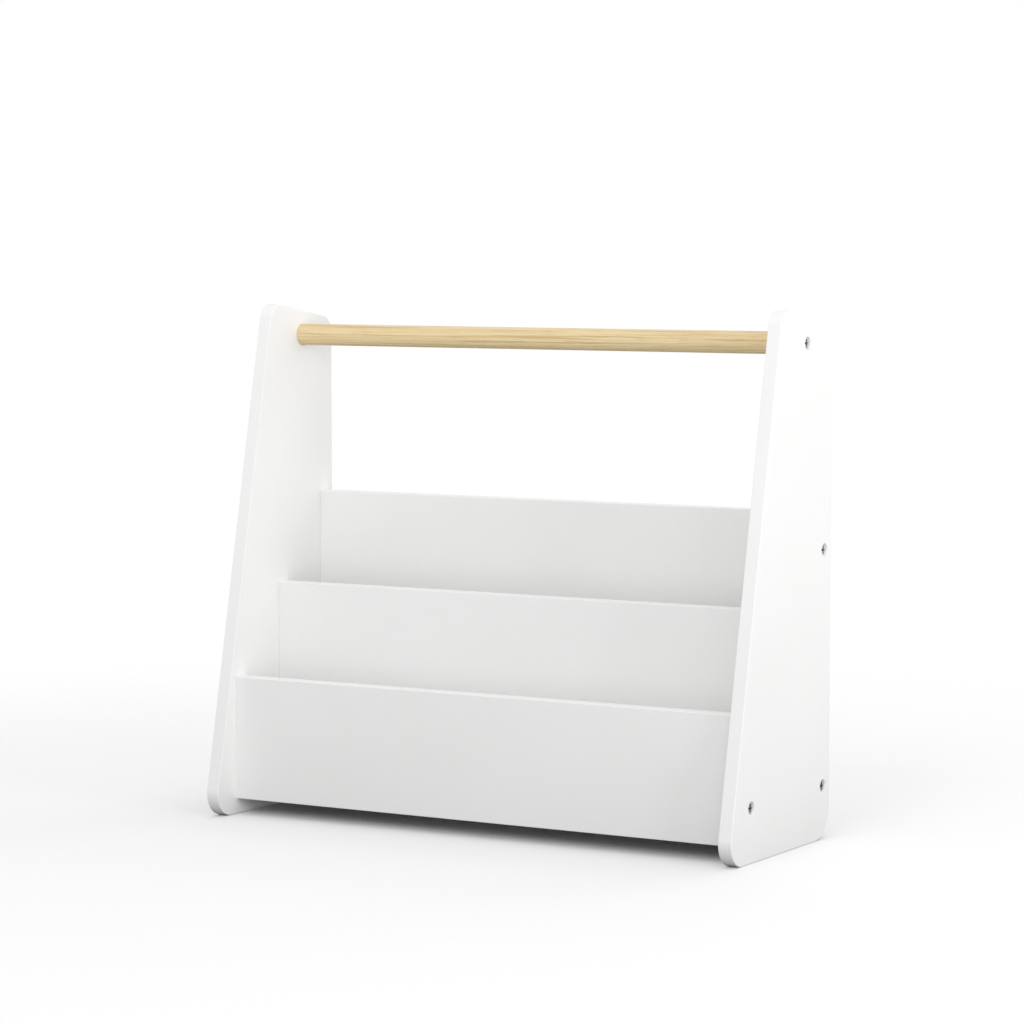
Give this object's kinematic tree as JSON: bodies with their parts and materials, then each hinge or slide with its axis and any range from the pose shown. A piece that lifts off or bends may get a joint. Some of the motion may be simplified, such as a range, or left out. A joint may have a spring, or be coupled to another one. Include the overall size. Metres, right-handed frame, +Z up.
{
  "type": "magazine rack",
  "caption": "Free-standing magazine rack: leaning side panels carry stepped upright boards that form open-topped pockets, with a round wooden carrying rod across the top.",
  "frame": {"origin": "on the floor, at the centre of the rack's footprint", "axes": "+Z up, +X along the width to the right as seen from the front, +Y to the upright rear edges; the leaning front faces -Y"},
  "size_m": [0.514, 0.1834, 0.4477],
  "materials": {
    "white_lacquer": "white satin lacquer on board",
    "clear_pine": "clear matt lacquer on pale turned wood",
    "zinc_plate": "bright zinc plate",
    "beech_pin": "bare turned beech"
  },
  "bodies": {
    "root": {"left_side_panel": "white_lacquer", "right_side_panel": "white_lacquer", "front_board": "white_lacquer", "middle_board": "white_lacquer", "rear_board": "white_lacquer", "bottom_shelf": "white_lacquer", "carrying_rod": "clear_pine", "left_rod_screw": "zinc_plate", "left_rear_upper_screw": "zinc_plate", "left_rear_lower_screw": "zinc_plate", "left_front_screw": "zinc_plate", "right_rod_screw": "zinc_plate", "right_rear_upper_screw": "zinc_plate", "right_rear_lower_screw": "zinc_plate", "right_front_screw": "zinc_plate", "left_front_pin": "beech_pin", "left_middle_upper_pin": "beech_pin", "left_middle_lower_pin": "beech_pin", "left_shelf_front_pin": "beech_pin", "left_shelf_rear_pin": "beech_pin", "right_front_pin": "beech_pin", "right_middle_upper_pin": "beech_pin", "right_middle_lower_pin": "beech_pin", "right_shelf_front_pin": "beech_pin", "right_shelf_rear_pin": "beech_pin"}
  },
  "joints": []
}
